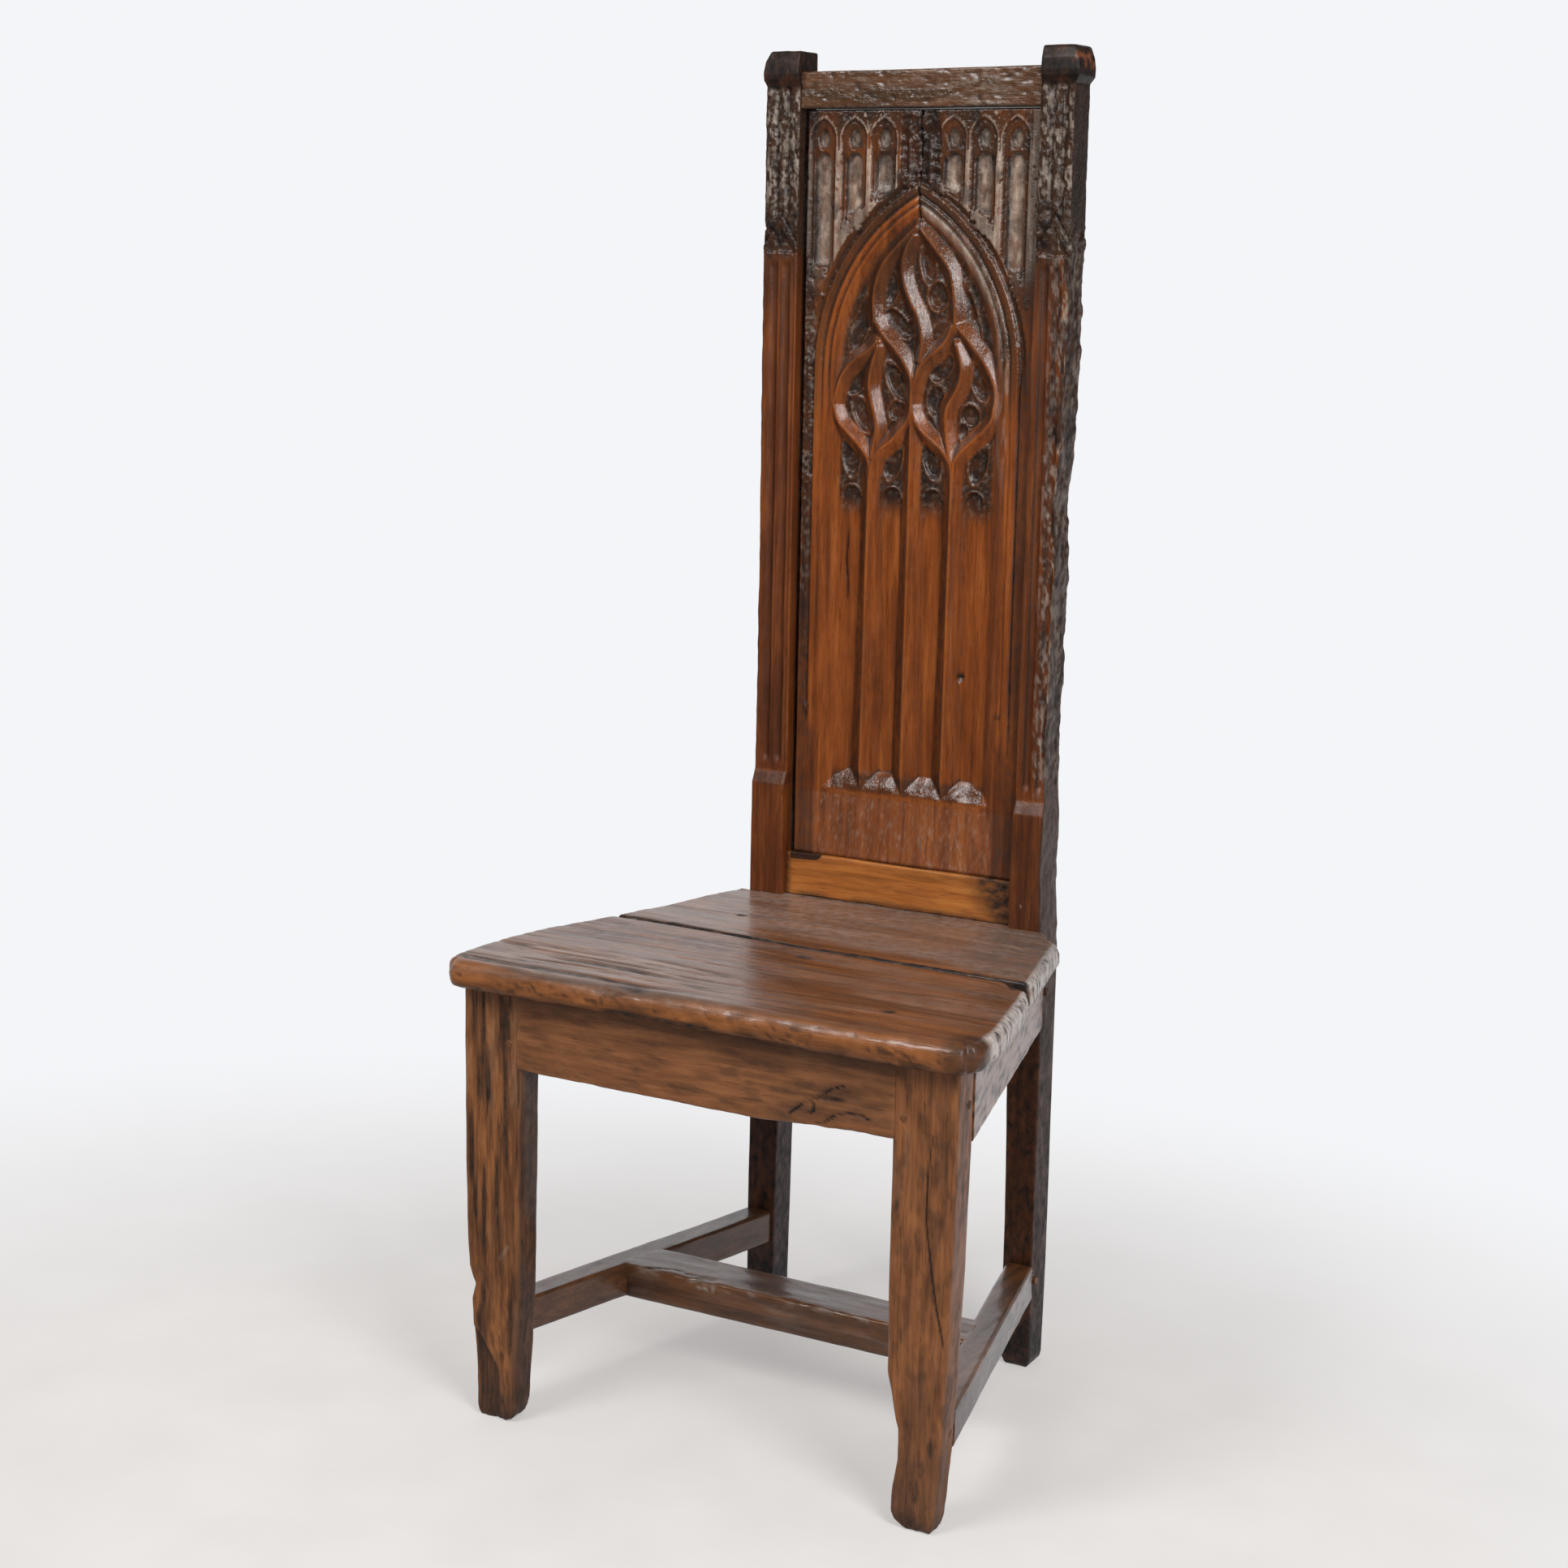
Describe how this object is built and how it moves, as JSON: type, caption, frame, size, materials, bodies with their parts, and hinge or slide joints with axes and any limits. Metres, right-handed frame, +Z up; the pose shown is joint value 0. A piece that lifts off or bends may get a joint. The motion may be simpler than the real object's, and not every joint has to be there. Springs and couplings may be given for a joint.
{
  "type": "gothic chair",
  "caption": "Tall-backed joined oak side chair with a carved tracery panel between buttress posts, a board seat and an H stretcher.",
  "frame": {"origin": "on the floor under the middle of the chair's bounding box", "axes": "+Z up, +Y towards the back of the chair, +X towards the sitter's left, which is the right of a viewer in front"},
  "size_m": [0.571, 0.455, 1.333],
  "materials": {
    "oak_frame": "waxed and worn",
    "oak_carved": "carved, waxed, dark in the recesses",
    "oak_seat": "worn and polished by use",
    "oak_rail": "waxed, warm brown",
    "oak_dark": "dark stained",
    "oak_pegs": "end grain, dark"
  },
  "bodies": {
    "root": {"front_leg_left": "oak_frame", "front_leg_right": "oak_frame", "front_apron": "oak_frame", "rear_apron": "oak_frame", "side_apron_left": "oak_frame", "side_apron_right": "oak_frame", "side_stretcher_left": "oak_frame", "side_stretcher_right": "oak_frame", "cross_stretcher": "oak_frame", "back_post_left": "oak_carved", "back_post_right": "oak_carved", "top_rail": "oak_carved", "carved_panel": "oak_carved", "seat_front_board": "oak_seat", "seat_rear_board": "oak_seat", "seat_tongue": "oak_seat", "lower_back_rail": "oak_rail", "rail_repair_slip": "oak_dark", "front_apron_pegs": "oak_pegs", "side_apron_pegs": "oak_pegs", "rear_apron_pegs": "oak_pegs", "side_stretcher_pegs": "oak_pegs", "cross_stretcher_pegs": "oak_pegs", "top_rail_pegs": "oak_pegs", "lower_rail_pegs": "oak_pegs", "seat_dowels": "oak_pegs"}
  },
  "joints": []
}
